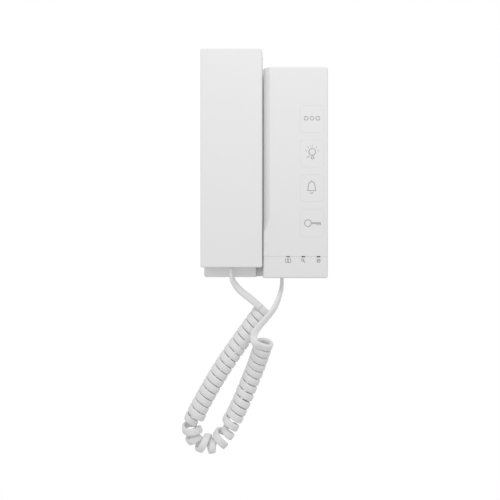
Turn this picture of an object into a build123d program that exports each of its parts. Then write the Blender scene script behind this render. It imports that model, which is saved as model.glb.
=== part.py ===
from build123d import *
import math
import os

# A wall door phone, in millimetres. X runs to the right, Y into the wall and Z up. The origin is the middle
# of the wall unit's back, on the wall. The unit has a bay for a slab handset on its left, a raised key panel
# on its right and a finger channel between them. A curly cord hangs from the feet of the two.

os.makedirs("parts", exist_ok=True)

# Wall unit housing, one moulding
unit_w = 112
unit_h = 188
panel_w = 56.9
panel_depth = 37
channel_w = 7.9
channel_depth = 12
bay_depth = 24
wall = 2.2
corner_r = 2.4
panel_edge_r = 1.5
bay_edge_r = 1
overrun = 1

# Finger scoop along the panel's left edge
scoop_w = 6.2
scoop_drop = 6
scoop_foot = -40
scoop_fade = 13
scoop_end_share = 0.02

# Handset
handset_w = 53.7
handset_h = 190.8
handset_top = 106.8
handset_t = 22
handset_gap = 0.4
handset_wall = 2
handset_rear_t = 8
handset_corner_r = 1.4
handset_edge_r = 1
handset_lip = 1.5
handset_lip_t = 1
handset_lip_gap = 0.15

# Earpiece end: boss, dish, holes and pocket
ear_z = 66
ear_r = 17.4
ear_boss = 6.5
ear_dish_r = 13
ear_dish = 2.2
ear_floor = 1.8
ear_hole_r = 1.1
ear_ring_r = 6
ear_holes = 6
pocket_gap = 0.6
pocket_rest = 0.9
capsule_r = 15
capsule_t = 6
capsule_back_r = 9
capsule_back_t = 2.5
capsule_gap = 0.1
foam_t = 1
foam_w = 4
press_ring_w = 1.6

# Mouthpiece end
mouth_z = -60
mouth_w = 28
mouth_h = 12
mouth_boss = 3.5
mouth_floor = 1.5
mouth_hole_r = 0.9
mouth_hole_pitch = 4
mouth_holes = 3
mic_r = 4.85
mic_t = 5
boot_r = 6.5
boot_floor = 1
boot_t = 7
boot_hole_r = 1.5
socket_w = 1.4
socket_h = 5

# Steel plate in the handset and magnet in the bay
catch_z = -5
catch_w = 20
catch_h = 8
steel_t = 2
magnet_t = 4
magnet_rib = 1.2
magnet_gap = 0.1

# Handset screws
handset_screw_drop = 8.8
handset_screw_rise = 8
handset_screw_side = 17
handset_screw_r = 1.3
handset_screw_head_r = 2.5
handset_screw_head_t = 1
handset_boss_r = 3.2
screw_gap = 0.1

# Keys
key_margin = 3.8
key_drop = 46.7
key_pitch = 30.7
key_names = ("auxiliary", "light", "bell", "door")
key_w = 21
key_h = 24
key_r = 3
key_gap = 0.05
key_travel = 0.5
flange_w = 0.9
flange_t = 1.4
flange_gap = 0.1
leg_w = 6
leg_rib = 1.2

# Circuit board and what stands on it
board_front = 8
board_t = 1.6
board_in_left = 5.9
board_in_right = 4
board_drop = 28
board_rise = 14
arm_in = 6
arm_top = -8
arm_foot = -50
tongue_side = 9
tongue_rise = 4
post_in = 5
post_pitch = 18
post_drop = 6
left_post_rise = 25
right_post_rise = 14
arm_post_in = 4
arm_post_drop = 5
arm_post_pitch = 30
arm_post_rise = 4
post_r = 3
switch_w = 6
switch_t = 3.5
stem_r = 1.7
stem_out = 2
stem_in = 1.5
stem_gap = 0.1
stem_room = 1
lamp_w = 3
lamp_h = 2
lamp_t = 1.2

# Indicator windows on the seam of the foot trim
window_in = 21.3
window_pitch = 13.55
window_count = 3
window_w = 4.1
window_h = 1.7
window_drop = 0.4
pipe_gap = 0.05
pipe_recess = 0.3
pipe_lamp_gap = 0.2
pipe_flange = 1
pipe_flange_t = 1

# Foot trim below the seam
trim_h = 19.2
seam_gap = 0.1
trim_depth = 8
trim_wall = 2
trim_gap = 0.1
snap_in = 14.9
snap_pitch = 26
snap_w = 6
snap_t = 1.2
snap_l = 4
snap_hook = 0.6
snap_gap = 0.2

# Housing screws behind the foot trim
cover_screw_in = 28.9
cover_screw_pitch = 20
cover_screw_rise = 8.5
cover_screw_r = 1.5
cover_screw_head_r = 2.8
cover_screw_head_t = 1.8
cover_screw_l = 21
cover_boss_r = 3
cover_boss_back = 14

# Rear plate
plate_t = 2.5
plate_gap = 0.2
rim_w = 1.6
rim_h = 3.4
wall_hole_r = 2.25
wall_hole_spacing = 120
cable_in = 28
cable_z = 22
cable_w = 30
cable_h = 24
cable_r = 3
hook_in = 26
hook_w = 8
hook_t = 3
hook_front = 8
hook_reach = 1.2
hook_gap = 0.2

# Call sounder
sounder_in = 25
sounder_z = 22
sounder_r = 16
sounder_t = 4
sounder_magnet_r = 9
sounder_magnet_t = 4
sounder_rib = 1.2
sounder_rib_h = 4
sounder_gap = 0.1
slot_count = 5
slot_w = 1.6
slot_l = 18
slot_pitch = 4

# Hook lever, its pin and its switch
lever_w = 7
lever_pivot = 15
lever_pivot_z = -36
lever_hub_r = 3
lever_nose_top = -13
lever_nose_foot = -23
lever_nose_back = 15.4
lever_nose_r = 2
lever_arm_t = 4
lever_bore_gap = 0.05
lever_side_gap = 0.3
lever_slot_gap = 1
lever_reach_z = 3.5
pin_r = 1.2
pin_over = 0.4
pin_fit = 0.02
ear_t = 1.6
ear_back = 10
ear_half = 3.4
hook_switch_z = -20
hook_switch_w = 6
hook_switch_l = 12.8
hook_switch_t = 6.5
hook_stem_r = 0.9
hook_stem_in = 1.5
hook_stem_gap = 0.1

# Terminal block
terminal_over = 0.2
terminal_l = 20
terminal_h = 8.4
terminal_t = 10
terminal_ways = 4
terminal_well_r = 1.9
terminal_well = 5
terminal_port_w = 3
terminal_port_h = 2.4
terminal_port = 3

# Cord sockets and plugs
jack_w = 13
jack_t = 13
jack_l = 14
jack_cavity_w = 7
jack_cavity_t = 9.2
jack_gap = 0.3
plug_gap = 0.15
plug_l = 12
unit_jack_in = 15.9
handset_jack_off = -0.85
latch_w = 3
latch_t = 0.7
latch_l = 8

# Cord
cord_w = 6
cord_t = 3.2
curl_od = 17.2
coil_corner_share = 0.49
arm_pitch = 6.85
bend_pitch = 8.5
bend_from_share = 0.4
bend_to_share = 0.7
bend_ease = 0.03
end_pitch = 7.6
end_from_share = 0.72
end_ease = 0.05
nest_in = 3.8
nest_out = 0.6
nest_from_deg = -75
nest_to_deg = 25
curl_steps = 8
arm_span_steps = 4
bend_span_steps = 2

left = -unit_w / 2
right = unit_w / 2
top = unit_h / 2
panel_left = right - panel_w
channel_left = panel_left - channel_w
panel_y = -panel_depth
bay_y = -bay_depth
panel_back = panel_y + wall
bay_back = bay_y + wall
shelf_y = panel_y + trim_depth
shelf_back = shelf_y + wall
board_y = -board_front
handset_right = left + handset_w
handset_x = left + handset_w / 2
handset_foot = handset_top - handset_h
handset_back = bay_y - handset_gap
handset_y = handset_back - handset_t
parting_y = handset_back - handset_rear_t
handset_inner = handset_back - handset_wall
key_x = right - key_margin - key_w / 2
key_places = [(key_x, top - key_drop - i * key_pitch) for i in range(len(key_names))]
seam_z = -top + trim_h
window_x = [panel_left + window_in + i * window_pitch for i in range(window_count)]
window_z = seam_z - window_drop
snap_x = (panel_left + snap_in, panel_left + snap_in + snap_pitch)
cover_screw_x = (panel_left + cover_screw_in, panel_left + cover_screw_in + cover_screw_pitch)
cover_screw_z = -top + cover_screw_rise
hook_x = (left + hook_in, right - hook_in)
cable_x = left + cable_in
sounder_x = left + sounder_in
unit_jack_x = panel_left + unit_jack_in
handset_jack_x = handset_x + handset_jack_off
board_left = panel_left + board_in_left
board_right = right - board_in_right
board_top = top - board_drop
board_foot = -top + board_rise
arm_left = left + arm_in
terminal_foot = arm_foot - terminal_over
board_posts = [
    (board_left + post_in, board_top - post_drop),
    (board_left + post_in + post_pitch, board_top - post_drop),
    (board_left + post_in, board_foot + left_post_rise),
    (board_left + post_in + post_pitch, board_foot + right_post_rise),
    (arm_left + arm_post_in, arm_top - arm_post_drop),
    (arm_left + arm_post_in + arm_post_pitch, arm_foot + arm_post_rise),
]
snap_z = -top + wall + snap_hook + snap_gap
handset_jack_y = handset_y + handset_wall + jack_t / 2
unit_jack_y = board_y - jack_t / 2
handset_screw_places = [
    (handset_x, handset_top - handset_screw_drop),
    (handset_x - handset_screw_side, handset_foot + handset_screw_rise),
    (handset_x + handset_screw_side, handset_foot + handset_screw_rise),
]


def block(x0, x1, y0, y1, z0, z1):
    """A box between two corners."""
    return Pos((x0 + x1) / 2, (y0 + y1) / 2, (z0 + z1) / 2) * Box(x1 - x0, y1 - y0, z1 - z0)


def slab(shape, y0, y1):
    """A shape drawn in X and Z, thick from y0 back to y1."""
    plane = Plane(origin=(0, y1, 0), x_dir=(1, 0, 0), z_dir=(0, -1, 0))
    return extrude(plane * shape, amount=y1 - y0)


def rod(x, z, y0, y1, r):
    """A round bar along Y."""
    return slab(Pos(x, z) * Circle(r), y0, y1)


def pad(x, z, w, h, r, y0, y1):
    """A plate with round corners."""
    return slab(Pos(x, z) * RectangleRounded(w, h, r), y0, y1)


def centred(x, z, w, h, y0, y1):
    """A box by its middle in X and Z."""
    return block(x - w / 2, x + w / 2, y0, y1, z - h / 2, z + h / 2)


def save(name, *solids):
    """Writes one node as one solid or a group of separate solids."""
    found = [s for shape in solids for s in shape.solids()]
    export_step(found[0] if len(found) == 1 else Compound(found), f"parts/{name}.step")


def scoop_section(share, z):
    """What the scoop takes off the panel's edge at one height: a cove beside the gap."""
    w = scoop_w * share
    drop = scoop_drop * share
    tip = (panel_left + w, panel_y)
    foot = (panel_left, panel_y + drop)
    cove = RadiusArc(foot, tip, (w**2 + drop**2) / (2 * drop))
    rest = Polyline(tip, (tip[0], panel_y - overrun), (foot[0] - overrun, panel_y - overrun),
                    (foot[0] - overrun, foot[1]), foot)
    return Pos(0, 0, z) * make_face([cove, rest])


def unit_outside():
    """The wall unit's outer form, foot trim included."""
    outline = Polyline(
        (left, 0), (left, bay_y), (channel_left, bay_y), (channel_left, -channel_depth),
        (panel_left, -channel_depth), (panel_left, panel_y), (right, panel_y), (right, 0), close=True,
    )
    body = extrude(make_face(outline), amount=unit_h / 2, both=True)
    corners = [e for e in body.edges().filter_by(Axis.Y) if abs(e.center().X) > right - overrun]
    body = fillet(corners, corner_r)
    lower = scoop_section(scoop_end_share, scoop_foot - scoop_fade)
    full = scoop_section(1, scoop_foot)
    body -= extrude(full, amount=top - scoop_foot + overrun)
    body -= loft([lower, full])
    panel_edges = [
        e for e in body.edges()
        if abs(e.center().Y - panel_y) < overrun / 2 and e.center().X > panel_left + scoop_w + overrun
    ]
    body = fillet(panel_edges, panel_edge_r)
    bay_edges = [
        e for e in body.edges()
        if abs(e.center().Y - bay_y) < overrun / 2 and e.center().X < channel_left - overrun
    ]
    return fillet(bay_edges, bay_edge_r)


def unit_cavity():
    """The hollow behind the unit's walls, open at the back."""
    low = Polyline(
        (left + wall, overrun), (left + wall, bay_back), (channel_left - wall, bay_back),
        (channel_left - wall, -channel_depth + wall), (panel_left + wall, -channel_depth + wall),
        (panel_left + wall, shelf_back), (right - wall, shelf_back), (right - wall, overrun), close=True,
    )
    hollow = extrude(make_face(low), amount=top - wall, both=True)
    high = Polyline(
        (panel_left + wall, shelf_back + overrun), (panel_left + wall, panel_y + scoop_drop + wall),
        (panel_left + scoop_w + wall, panel_back), (right - wall, panel_back),
        (right - wall, shelf_back + overrun), close=True,
    )
    room = extrude(Pos(0, 0, seam_z + wall) * make_face(high), amount=top - wall - seam_z - wall)
    return hollow + room


def trim_zone(gap):
    """The room of the foot trim, less a gap at its seam."""
    return block(
        panel_left - overrun, right + overrun, panel_y - overrun, shelf_y, -top - overrun, seam_z - gap
    )


def windows(extra, y0, y1):
    """Bars the size of the indicator windows, or a little more."""
    return [
        centred(x, window_z, window_w + 2 * extra, window_h + 2 * extra, y0, y1) for x in window_x
    ]


def lever_ears():
    """The two ears that carry the hook lever's pin."""
    reach = lever_w / 2 + lever_side_gap
    return [
        block(x, x + ear_t, bay_back, -ear_back, lever_pivot_z - ear_half, lever_pivot_z + ear_half)
        for x in (handset_x - reach - ear_t, handset_x + reach)
    ]


def across(x0, x1, r):
    """A round bar along X through the lever's pivot."""
    place = Plane(origin=(x0, -lever_pivot, lever_pivot_z), x_dir=(0, 1, 0), z_dir=(1, 0, 0))
    return extrude(place * Circle(r), amount=x1 - x0)


def mouth_shape(extra, y0, y1):
    """The mouthpiece boss's outline, widened all round."""
    outline = SlotOverall(mouth_w + 2 * extra, mouth_h + 2 * extra)
    return slab(Pos(handset_x, mouth_z) * outline, y0, y1)


def front_housing():
    """The one-piece front of the wall unit, with its bay, pockets, ribs and bosses."""
    body = unit_outside() - unit_cavity() - trim_zone(0)
    pocket_r = ear_r + pocket_gap
    pocket_floor = handset_back + ear_boss + pocket_rest
    body += rod(handset_x, ear_z, bay_back, pocket_floor + wall, pocket_r + wall)
    body -= rod(handset_x, ear_z, bay_y - overrun, pocket_floor, pocket_r)
    mouth_back = handset_back + mouth_boss + pocket_rest
    body += mouth_shape(pocket_gap + wall, bay_back, mouth_back + wall)
    body -= mouth_shape(pocket_gap, bay_y - overrun, mouth_back)
    for x, z in key_places:
        w, h = key_w + 2 * key_gap, key_h + 2 * key_gap
        body -= pad(x, z, w, h, key_r + key_gap, panel_y - overrun, panel_back + overrun)
    for bar in windows(0, panel_y - overrun, shelf_back + overrun):
        body -= bar
    for x in cover_screw_x:
        body += rod(x, cover_screw_z, shelf_back, -cover_boss_back, cover_boss_r)
        hole_r = cover_screw_r + screw_gap
        body -= rod(x, cover_screw_z, shelf_y - overrun, -cover_boss_back + overrun, hole_r)
    for x in snap_x:
        body -= block(
            x - snap_w / 2 - snap_gap, x + snap_w / 2 + snap_gap, shelf_y - overrun, shelf_back + overrun,
            -top + wall, snap_z + snap_t + snap_gap,
        )
    body -= block(
        unit_jack_x - jack_cavity_w / 2, unit_jack_x + jack_cavity_w / 2,
        unit_jack_y - jack_cavity_t / 2, unit_jack_y + jack_cavity_t / 2,
        -top - overrun, -top + wall + overrun,
    )
    rib_back = bay_back + sounder_rib_h
    ring = rod(sounder_x, sounder_z, bay_back, rib_back, sounder_r + sounder_gap + sounder_rib)
    body += ring - rod(sounder_x, sounder_z, bay_back, rib_back, sounder_r + sounder_gap)
    for i in range(slot_count):
        z = sounder_z + (i - (slot_count - 1) / 2) * slot_pitch
        body -= centred(sounder_x, z, slot_l, slot_w, bay_y - overrun, bay_back + overrun)
    frame_w = catch_w + 2 * magnet_gap
    frame_h = catch_h + 2 * magnet_gap
    frame_back = bay_back + magnet_t
    rim = 2 * magnet_rib
    frame = centred(handset_x, catch_z, frame_w + rim, frame_h + rim, bay_back, frame_back)
    body += frame - centred(handset_x, catch_z, frame_w, frame_h, bay_back, frame_back)
    body -= block(
        handset_x - lever_w / 2 - lever_side_gap, handset_x + lever_w / 2 + lever_side_gap,
        bay_y - overrun, bay_back + overrun,
        lever_nose_foot - lever_reach_z, lever_nose_top + lever_slot_gap,
    )
    for ear in lever_ears():
        body += ear
    reach = lever_w / 2 + lever_side_gap + ear_t
    body -= across(handset_x - reach - overrun, handset_x + reach + overrun, pin_r + pin_fit)
    for x in hook_x:
        body -= block(
            x - hook_w / 2 - hook_gap, x + hook_w / 2 + hook_gap, -hook_front - hook_gap,
            -hook_front + hook_t + hook_gap, top - wall - overrun, top - wall + hook_reach + hook_gap,
        )
    return body


def foot_trim():
    """The clipped cap below the seam, with its snap tongues."""
    body = unit_outside() & trim_zone(seam_gap)
    body -= block(
        panel_left + trim_wall, right - trim_wall, panel_y + trim_wall, shelf_y + overrun,
        -top + trim_wall, seam_z - seam_gap - trim_wall,
    )
    for bar in windows(0, panel_y - overrun, shelf_y + overrun):
        body -= bar
    for x in snap_x:
        side = snap_w / 2
        tip = shelf_back + snap_l
        snap_top = snap_z + snap_t
        body += block(x - side, x + side, panel_y + trim_wall, shelf_y, -top + trim_wall, snap_top)
        body += block(x - side, x + side, shelf_y, tip, snap_z, snap_top)
        body += block(x - side, x + side, shelf_back + snap_gap, tip, snap_top, snap_top + snap_hook)
    return body


def key(x, z):
    """One flush key with its retaining flange and its ribbed leg."""
    foot_y = board_y - switch_t - stem_out
    flange_y = panel_back + flange_gap
    body = pad(x, z, key_w, key_h, key_r, panel_y, flange_y)
    body += pad(
        x, z, key_w + 2 * flange_w, key_h + 2 * flange_w, key_r + flange_w, flange_y, flange_y + flange_t
    )
    body += centred(x, z, leg_w, leg_rib, flange_y, foot_y)
    return body + centred(x, z, leg_rib, leg_w, flange_y, foot_y)


def key_stem(x, z):
    """The stem of a key switch."""
    foot = board_y - switch_t
    return rod(x, z, foot - stem_out, foot + stem_in, stem_r)


def key_switch(x, z):
    """The body of a key switch, with its well for the stem."""
    foot = board_y - switch_t
    body = centred(x, z, switch_w, switch_w, foot, board_y)
    return body - rod(x, z, foot - overrun, foot + stem_in + stem_room, stem_r + stem_gap)


def circuit_board():
    """The board, with its arm behind the bay and its tongue under the cord socket."""
    back = board_y + board_t
    body = block(board_left, board_right, board_y, back, board_foot, board_top)
    body += block(arm_left, board_left, board_y, back, arm_foot, arm_top)
    return body + block(
        unit_jack_x - tongue_side, unit_jack_x + tongue_side, board_y, back, -top + tongue_rise, board_foot
    )


def rear_plate():
    """The plate on the wall, with its rim, posts, screw holes and cable entry."""
    w = unit_w - 2 * (wall + plate_gap)
    h = unit_h - 2 * (wall + plate_gap)
    body = block(-w / 2, w / 2, -plate_t, 0, -h / 2, h / 2)
    rim = block(-w / 2, w / 2, -plate_t - rim_h, -plate_t, -h / 2, h / 2)
    body += rim - block(
        -w / 2 + rim_w, w / 2 - rim_w, -plate_t - rim_h - overrun, -plate_t, -h / 2 + rim_w, h / 2 - rim_w
    )
    for x, z in board_posts:
        body += rod(x, z, board_y + board_t, -plate_t, post_r)
    for x in cover_screw_x:
        body += rod(x, cover_screw_z, -cover_boss_back, -plate_t, cover_boss_r)
        tip = shelf_y + cover_screw_l + overrun
        body -= rod(x, cover_screw_z, -cover_boss_back - overrun, tip, cover_screw_r + screw_gap / 2)
    for z in (-wall_hole_spacing / 2, wall_hole_spacing / 2):
        body -= rod(0, z, -plate_t - overrun, overrun, wall_hole_r)
    body -= pad(cable_x, cable_z, cable_w, cable_h, cable_r, -plate_t - overrun, overrun)
    for x in hook_x:
        foot = h / 2 - rim_w
        tip = top - wall + hook_reach
        body += block(x - hook_w / 2, x + hook_w / 2, -hook_front, -hook_front + hook_t, foot, tip)
    return body


def screw(x, z, y_head, head_t, head_r, shank, r):
    """A pan head screw whose head lies against y_head, driven towards the wall."""
    return rod(x, z, y_head - head_t, y_head, head_r) + rod(x, z, y_head, y_head + shank, r)


def light_pipe(x):
    """One indicator's clear rod, from its window back to its lamp."""
    w = window_w - 2 * pipe_gap
    h = window_h - 2 * pipe_gap
    body = centred(x, window_z, w, h, panel_y + pipe_recess, board_y - lamp_t - pipe_lamp_gap)
    flange = shelf_back + pipe_gap
    over = 2 * pipe_flange
    return body + centred(x, window_z, w + over, h + over, flange, flange + pipe_flange_t)


def call_sounder():
    """The sounder's basket and magnet as one turned body."""
    body = rod(sounder_x, sounder_z, bay_back, bay_back + sounder_t, sounder_r)
    back = bay_back + sounder_t
    body += rod(sounder_x, sounder_z, back, back + sounder_magnet_t, sounder_magnet_r)
    return body - rod(sounder_x, sounder_z, bay_back, bay_back + sounder_t / 2, sounder_magnet_r)


def hook_lever():
    """The lever that the handset's back holds in."""
    front = handset_back + flange_gap
    side = Plane(origin=(handset_x - lever_w / 2, 0, 0), x_dir=(0, 1, 0), z_dir=(1, 0, 0))
    nose_y = (front - lever_nose_back) / 2
    nose_z = (lever_nose_top + lever_nose_foot) / 2
    nose_t = -lever_nose_back - front
    nose = Pos(nose_y, nose_z) * RectangleRounded(nose_t, lever_nose_top - lever_nose_foot, lever_nose_r)
    arm_y = -lever_nose_back - lever_arm_t / 2
    arm = Pos(arm_y, (lever_pivot_z + nose_z) / 2) * Rectangle(lever_arm_t, nose_z - lever_pivot_z)
    hub = Pos(-lever_pivot, lever_pivot_z) * Circle(lever_hub_r)
    body = extrude(side * (nose + arm + hub), amount=lever_w)
    return body - across(handset_x - lever_w, handset_x + lever_w, pin_r + lever_bore_gap)


def hook_pin():
    """The pin through the lever and both ears."""
    reach = lever_w / 2 + lever_side_gap + ear_t + pin_over
    return across(handset_x - reach, handset_x + reach, pin_r)


def hook_switch():
    """The switch under the lever."""
    front = board_y - hook_switch_t
    body = centred(handset_x, hook_switch_z, hook_switch_w, hook_switch_l, front, board_y)
    room = front + hook_stem_in + overrun
    return body - rod(handset_x, hook_switch_z, front - overrun, room, hook_stem_r + hook_stem_gap)


def hook_stem():
    """The hook switch's stem, which follows the lever."""
    back = board_y - hook_switch_t + hook_stem_in
    return rod(handset_x, hook_switch_z, -lever_nose_back, back, hook_stem_r)


def terminal_places():
    """The middles of the terminal block's ways."""
    pitch = terminal_l / terminal_ways
    z = terminal_foot + terminal_h / 2
    return [(arm_left + (i + 1 / 2) * pitch, z) for i in range(terminal_ways)]


def terminal_block():
    """The screw terminals for the wires from the wall."""
    front = board_y - terminal_t
    foot, head = terminal_foot, terminal_foot + terminal_h
    body = block(arm_left, arm_left + terminal_l, front, board_y, foot, head)
    for x, z in terminal_places():
        body -= rod(x, z, front - overrun, front + terminal_well, terminal_well_r)
        port_y = board_y - terminal_port_h - overrun
        body -= block(
            x - terminal_port_w / 2, x + terminal_port_w / 2, port_y, port_y + terminal_port_h,
            terminal_foot - overrun, terminal_foot + terminal_port,
        )
    return body


def cord_jack(x, y, foot):
    """A cord socket, open at its foot."""
    body = block(x - jack_w / 2, x + jack_w / 2, y - jack_t / 2, y + jack_t / 2, foot, foot + jack_l)
    cavity = block(
        x - jack_cavity_w / 2, x + jack_cavity_w / 2, y - jack_cavity_t / 2, y + jack_cavity_t / 2,
        foot - overrun, foot + jack_l - overrun,
    )
    return body - cavity


def cord_plug(x, y, foot):
    """A moulded plug, flush with the foot that it goes into, with its spring latch on its left."""
    w = jack_cavity_w - 2 * plug_gap
    t = jack_cavity_t / 2 - plug_gap
    right_side = x + w / 2
    body = block(right_side - w + latch_t, right_side, y - t, y + t, foot, foot + plug_l)
    side = latch_w / 2
    return body + block(
        right_side - w, right_side - w + latch_t, y - side, y + side, foot + plug_l - latch_l, foot + plug_l
    )


def handset_box(inset, y0, y1):
    """A block of the handset's outline, drawn in by an inset."""
    return block(left + inset, handset_right - inset, y0, y1, handset_foot + inset, handset_top - inset)


def handset_front_shell():
    """The handset's flat outer shell, with its screw bosses and the ring that holds the earpiece."""
    body = handset_box(0, handset_y, parting_y)
    body = fillet(body.edges().filter_by(Axis.Y), handset_corner_r)
    body = fillet([e for e in body.edges() if abs(e.center().Y - handset_y) < overrun / 10], handset_edge_r)
    inner = handset_y + handset_wall
    body -= handset_box(handset_wall, inner, parting_y + overrun)
    for x, z in handset_screw_places:
        body += rod(x, z, inner, handset_inner, handset_boss_r)
        body -= rod(x, z, inner + overrun, handset_inner + overrun, handset_screw_r + screw_gap / 2)
    hold = ear_seat() - foam_t - capsule_t
    ring = rod(handset_x, ear_z, inner, hold, capsule_r)
    body += ring - rod(handset_x, ear_z, inner, hold, capsule_r - press_ring_w)
    x, y = handset_jack_x, handset_jack_y
    body -= block(
        x - jack_cavity_w / 2, x + jack_cavity_w / 2, y - jack_cavity_t / 2, y + jack_cavity_t / 2,
        handset_foot - overrun, handset_foot + handset_wall + overrun,
    )
    return body


def ear_seat():
    """Where the foam ring lies against the earpiece boss's floor."""
    return handset_back + ear_boss - ear_dish - ear_floor


def mouth_seat():
    """Where the microphone's boot lies against the mouthpiece boss's floor."""
    return handset_back + mouth_boss - mouth_floor


def ear_hole_places():
    """The middle hole and the ring of holes round it."""
    angles = [2 * math.pi * i / ear_holes for i in range(ear_holes)]
    ring = [(handset_x + ear_ring_r * math.cos(a), ear_z + ear_ring_r * math.sin(a)) for a in angles]
    return [(handset_x, ear_z)] + ring


def handset_rear_shell():
    """The side that faces the bay, with the dished earpiece boss and the mouthpiece boss."""
    body = handset_box(0, parting_y, handset_back)
    body = fillet(body.edges().filter_by(Axis.Y), handset_corner_r)
    rim = [e for e in body.edges() if abs(e.center().Y - handset_back) < overrun / 10]
    body = fillet(rim, handset_edge_r)
    body -= handset_box(handset_wall, parting_y - overrun, handset_inner)
    lip = handset_wall + handset_lip_gap
    lip_ring = handset_box(lip, parting_y - handset_lip, handset_inner)
    body += lip_ring - handset_box(lip + handset_lip_t, parting_y - handset_lip - overrun, handset_inner)
    tip = handset_back + ear_boss
    body += rod(handset_x, ear_z, handset_inner, tip, ear_r)
    dish = (ear_dish_r**2 + ear_dish**2) / (2 * ear_dish)
    body -= Pos(handset_x, tip + dish - ear_dish, ear_z) * Sphere(dish)
    body -= rod(handset_x, ear_z, handset_inner - overrun, ear_seat(), capsule_r + capsule_gap)
    for x, z in ear_hole_places():
        body -= rod(x, z, ear_seat() - overrun, tip, ear_hole_r)
    body += mouth_shape(0, handset_inner, handset_back + mouth_boss)
    body += rod(handset_x, mouth_z, handset_inner - socket_h, handset_inner, boot_r + capsule_gap + socket_w)
    body -= rod(handset_x, mouth_z, handset_inner - socket_h - overrun, mouth_seat(), boot_r + capsule_gap)
    for i in range(mouth_holes):
        x = handset_x + (i - (mouth_holes - 1) / 2) * mouth_hole_pitch
        body -= rod(x, mouth_z, mouth_seat() - overrun, handset_back + mouth_boss + overrun, mouth_hole_r)
    for x, z in handset_screw_places:
        sink = handset_back - handset_screw_head_t
        body -= rod(x, z, handset_inner - overrun, handset_back + overrun, handset_screw_r + screw_gap)
        body -= rod(x, z, sink, handset_back + overrun, handset_screw_head_r + screw_gap)
    side = jack_w / 2 + jack_gap
    foot = handset_foot + handset_wall
    return body - block(
        handset_jack_x - side, handset_jack_x + side, handset_jack_y,
        handset_jack_y + jack_t / 2 + jack_gap, foot, foot + jack_l + jack_gap,
    )


def handset_screws():
    """The three screws that close the handset, driven from the bay side."""
    sink = handset_back - handset_screw_head_t
    return [
        rod(x, z, sink, handset_back, handset_screw_head_r) + rod(x, z, parting_y, sink, handset_screw_r)
        for x, z in handset_screw_places
    ]


def earpiece_capsule():
    """The receiver, a turned can with a stepped back."""
    front = ear_seat() - foam_t
    body = rod(handset_x, ear_z, front - capsule_t, front, capsule_r)
    return body + rod(handset_x, ear_z, front - capsule_t - capsule_back_t, front - capsule_t, capsule_back_r)


def earpiece_foam():
    """The foam ring between the receiver and the boss's floor."""
    ring = rod(handset_x, ear_z, ear_seat() - foam_t, ear_seat(), capsule_r)
    return ring - rod(handset_x, ear_z, ear_seat() - foam_t, ear_seat(), capsule_r - foam_w)


def microphone_boot():
    """The rubber cup round the microphone."""
    front = mouth_seat()
    body = rod(handset_x, mouth_z, front - boot_t, front, boot_r)
    body -= rod(handset_x, mouth_z, front - boot_t - overrun, front - boot_floor, mic_r + capsule_gap)
    return body - rod(handset_x, mouth_z, front - boot_floor - overrun, front + overrun, boot_hole_r)


def microphone_capsule():
    """The microphone in its boot."""
    front = mouth_seat() - boot_floor
    return rod(handset_x, mouth_z, front - mic_t, front, mic_r)


# The cord's own lines. The coil's line and the two leads are lists of places on the hanging cord. The coil's
# last turns lean out towards the viewer.
coil_y = -22
coil_route = [
    (-1.8, coil_y, -123.4), (-22.4, coil_y, -151.5), (-40.3, coil_y, -177.5), (-54.4, coil_y, -201.5),
    (-67.9, coil_y, -226.8), (-67.5, coil_y, -235.4), (-62.9, coil_y, -242.6), (-55.4, coil_y, -246.6),
    (-46.8, coil_y, -246.3), (-39.6, coil_y, -241.8), (-23.2, coil_y, -210.8), (-14.6, -22.5, -189.5),
    (-6.9, -26.5, -170.5), (-0.8, -36, -150.8),
]
handset_lead_route = [
    (handset_jack_x, handset_jack_y, handset_foot), (handset_jack_x, handset_jack_y, -91.5),
    (-27.6, -36.8, -98.5), (-22, -34.5, -105.5), (-14.5, -32, -111.6),
]
unit_lead_route = [
    (-10.7, -42.2, -146.2), (-10, -41, -141.5), (-6.4, -39.4, -137.2), (-1.6, -37.6, -132.6),
    (3.6, -35.2, -127), (8.6, -31.5, -120.8), (12, -27.5, -113.4), (13.9, -22.4, -107.5), (14.8, -17.6, -103),
    (unit_jack_x, unit_jack_y, -98.6),
]


def turn_radii(points, share=0.45):
    """The largest radius that each corner of a route allows when it takes a share of the shorter run."""
    radii = []
    for a, b, c in zip(points, points[1:], points[2:]):
        come = Vector(*b) - Vector(*a)
        go = Vector(*c) - Vector(*b)
        radii.append(share * min(come.length, go.length) / math.tan(math.radians(come.get_angle(go)) / 2))
    return radii


def soft_line(points, share=0.45):
    """Straight runs joined by tangent arcs as large as the runs allow."""
    return FilletPolyline(*points, radius=turn_radii(points, share))


def cord_section(place, ahead, out):
    """The flat cord's section at a place, its flat side square to out."""
    out = (out - ahead * out.dot(ahead)).normalized()
    return (Plane(origin=place, x_dir=out, z_dir=ahead) * Rectangle(cord_t, cord_w)).face()


coil_line = soft_line(coil_route, coil_corner_share)
coil_back = Vector(0, 1, 0)
curl_r = (curl_od - cord_t) / 2


def eased(share):
    """A smooth step from 0 to 1."""
    share = min(max(share, 0), 1)
    return share * share * (3 - 2 * share)


def in_bend(share):
    """1 round the coil's bend and 0 on its arms."""
    return eased((share - bend_from_share) / bend_ease) * eased((bend_to_share - share) / bend_ease)


def coil_stations():
    """How far along the coil's line each step of a curl lies. Whole turns fill the line."""
    places = [0.0]
    while places[-1] < coil_line.length:
        share = places[-1] / coil_line.length
        pitch = arm_pitch + (bend_pitch - arm_pitch) * in_bend(share)
        pitch += (end_pitch - arm_pitch) * eased((share - end_from_share) / end_ease)
        places.append(places[-1] + pitch / curl_steps)
    whole = places[: len(places) - (len(places) - 1) % curl_steps]
    return [p * coil_line.length / whole[-1] for p in whole]


stations = coil_stations()
last_step = len(stations) - 1


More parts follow.
